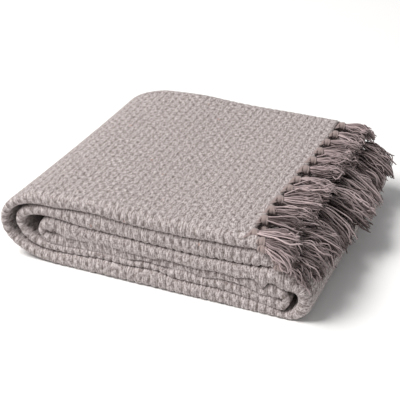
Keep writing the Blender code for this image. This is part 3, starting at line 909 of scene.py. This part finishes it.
class FringeSettings(bpy.types.PropertyGroup):
    yarn: FloatProperty(name="Yarn", description="Thickness of one yarn", unit="LENGTH",
                        default=1.9 * MM, min=0.5 * MM, max=4 * MM)
    sides: IntProperty(name="Sides", description="Sides of a yarn's mesh", default=5, min=3,
                       max=8)
    light: colour("Light yarns", "The palest yarns of the fringe", "c6b3b3")
    # Also reached by painted shade on the lowest yarns of a tassel.
    dark: colour("Dark yarns", "The deepest yarns of the fringe", "423130")
    knot: colour("Knots", "Yarn drawn tight in a knot", "968683")


# The stage, in metres, watts and millimetres of film.
KEY_PLACE, KEY_WIDE, KEY_POWER = (-2.6, -2.0, 4.9), 3.4, 405.0
KEY_TINT = (1.0, 0.985, 0.97)
LIGHT_TARGET = (0, 0, 0.05)
ROOM_LIGHT = 0.34
FLOOR_REACH, FLOOR_TOP = 12.0, -0.0004  # just under the cloth, so that nothing touches
SENSOR = 36.0


class StageSettings(bpy.types.PropertyGroup):
    azimuth: FloatProperty(name="Azimuth", description="Where the camera stands round the pile",
                           subtype="ANGLE", default=math.radians(23.69))
    elevation: FloatProperty(name="Elevation", description="How high the camera looks from",
                             subtype="ANGLE", default=math.radians(27.94))
    distance: FloatProperty(name="Distance", description="From the camera to its target",
                            unit="LENGTH", default=1.737)
    target: FloatVectorProperty(name="Target", description="What the camera looks at",
                                subtype="TRANSLATION", default=(-0.0371, 0.0485, 0.0062))
    lens: FloatProperty(name="Lens", description="Focal length", default=107.5,
                        unit="CAMERA")
    floor: colour("Floor", "The floor's paint", "f7f7f7")


SETTINGS = (("bedspread_cloth", ClothSettings), ("bedspread_fringe", FringeSettings),
            ("bedspread_stage", StageSettings))


# ---------- operators

def add_piece(mesh, material):
    """A piece of the bedspread, riding the part's root."""
    mesh.materials.append(material)
    piece = bpy.data.objects.new(mesh.name, mesh)
    bpy.context.scene.collection.objects.link(piece)
    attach(piece, "root")
    return piece


class BEDSPREAD_OT_fringe(bpy.types.Operator):
    """Ties the knots and yarns of every row of fringe"""

    bl_idname = "bedspread.fringe"
    bl_label = "Tie the fringe"

    def execute(self, context):
        settings = context.scene.bedspread_fringe
        material = fringe_cotton(settings)
        for seed, row in enumerate(ROWS):
            piece = add_piece(fringe_mesh(row, settings, 11 + seed), material)
            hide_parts(row.name)
        return {"FINISHED"}


class BEDSPREAD_OT_cloth(bpy.types.Operator):
    """Weaves the sheet and lays it on the pile's folds"""

    bl_idname = "bedspread.cloth"
    bl_label = "Fold the cloth"

    def execute(self, context):
        settings = context.scene.bedspread_cloth
        piece = add_piece(cloth_mesh(settings), honeycomb_cotton(settings))
        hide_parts("bedspread")
        return {"FINISHED"}


def add_light(name, place, size, power, tint):
    """A round soft light that looks at the pile."""
    data = bpy.data.lights.new(name, "AREA")
    data.shape, data.size, data.energy, data.color = "DISK", size, power, tint
    light = bpy.data.objects.new(name, data)
    light.location = place
    aim = Vector(LIGHT_TARGET) - Vector(place)
    light.rotation_euler = aim.to_track_quat("-Z", "Y").to_euler()
    bpy.context.scene.collection.objects.link(light)


class BEDSPREAD_OT_stage(bpy.types.Operator):
    """Sets the floor, the lights and the camera"""

    bl_idname = "bedspread.stage"
    bl_label = "Set the stage"

    def execute(self, context):
        settings = context.scene.bedspread_stage
        mesh = bpy.data.meshes.new("floor")
        far, low = FLOOR_REACH, FLOOR_TOP
        mesh.from_pydata([(-far, -far, low), (far, -far, low), (far, far, low),
                          (-far, far, low)], [], [(0, 1, 2, 3)])
        mesh.materials.append(pale_floor(settings))
        floor = bpy.data.objects.new("floor", mesh)
        context.scene.collection.objects.link(floor)
        add_light("key", KEY_PLACE, KEY_WIDE, KEY_POWER, KEY_TINT)
        world = bpy.data.worlds.new("studio")
        world.use_nodes = True
        background = world.node_tree.nodes["Background"]
        background.inputs["Color"].default_value = (1, 1, 1, 1)
        background.inputs["Strength"].default_value = ROOM_LIGHT
        context.scene.world = world
        context.scene.view_settings.view_transform = "Standard"
        camera = bpy.data.objects.new("camera", bpy.data.cameras.new("camera"))
        camera.data.lens = settings.lens
        camera.data.sensor_width = SENSOR
        a, e = settings.azimuth, settings.elevation
        back = Vector((math.sin(a) * math.cos(e), -math.cos(a) * math.cos(e), math.sin(e)))
        camera.location = Vector(settings.target) + back * settings.distance
        camera.rotation_euler = (-back).to_track_quat("-Z", "Y").to_euler()
        context.scene.collection.objects.link(camera)
        context.scene.camera = camera
        return {"FINISHED"}


class BEDSPREAD_PT_panel(bpy.types.Panel):
    bl_label = "Folded bedspread"
    bl_space_type = "VIEW_3D"
    bl_region_type = "UI"
    bl_category = "Bedspread"

    def draw(self, context):
        for operator in OPERATORS:
            self.layout.operator(operator.bl_idname)
        for name, group in SETTINGS:
            box = self.layout.box()
            for field in group.__annotations__:
                box.prop(getattr(context.scene, name), field)


OPERATORS = (BEDSPREAD_OT_fringe, BEDSPREAD_OT_cloth, BEDSPREAD_OT_stage)


def register():
    for name, group in SETTINGS:
        bpy.utils.register_class(group)
        setattr(bpy.types.Scene, name, PointerProperty(type=group))
    for item in (*OPERATORS, BEDSPREAD_PT_panel):
        bpy.utils.register_class(item)


def unregister():
    for item in (BEDSPREAD_PT_panel, *OPERATORS[::-1]):
        bpy.utils.unregister_class(item)
    for name, group in SETTINGS[::-1]:
        delattr(bpy.types.Scene, name)
        bpy.utils.unregister_class(group)


def main():
    register()
    bpy.ops.bedspread.fringe()
    bpy.ops.bedspread.cloth()
    bpy.ops.bedspread.stage()


if __name__ == "__main__":
    main()
